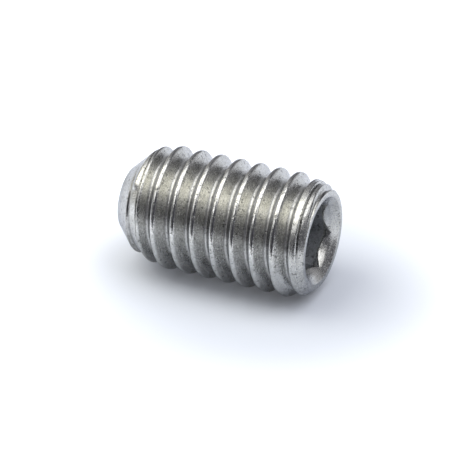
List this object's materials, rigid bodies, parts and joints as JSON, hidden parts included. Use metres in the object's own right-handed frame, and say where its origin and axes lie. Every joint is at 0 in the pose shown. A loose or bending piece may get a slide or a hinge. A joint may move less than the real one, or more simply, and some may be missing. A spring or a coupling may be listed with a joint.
{
  "type": "grub set screw",
  "caption": "Headless set screw with a right-hand metric thread over its whole length, a hex socket at one end and a cup point at the other.",
  "frame": {"origin": "centre of the cup point's rim plane, on the screw's axis", "axes": "+Z along the axis from the cup point to the socket end, with the screw standing on its point; +X and +Y across it"},
  "size_m": [0.0058, 0.0058, 0.0098],
  "materials": {
    "steel": "plain stainless steel, rolled and turned, satin with bright crests"
  },
  "bodies": {
    "root": {"set_screw": "steel"}
  },
  "joints": []
}
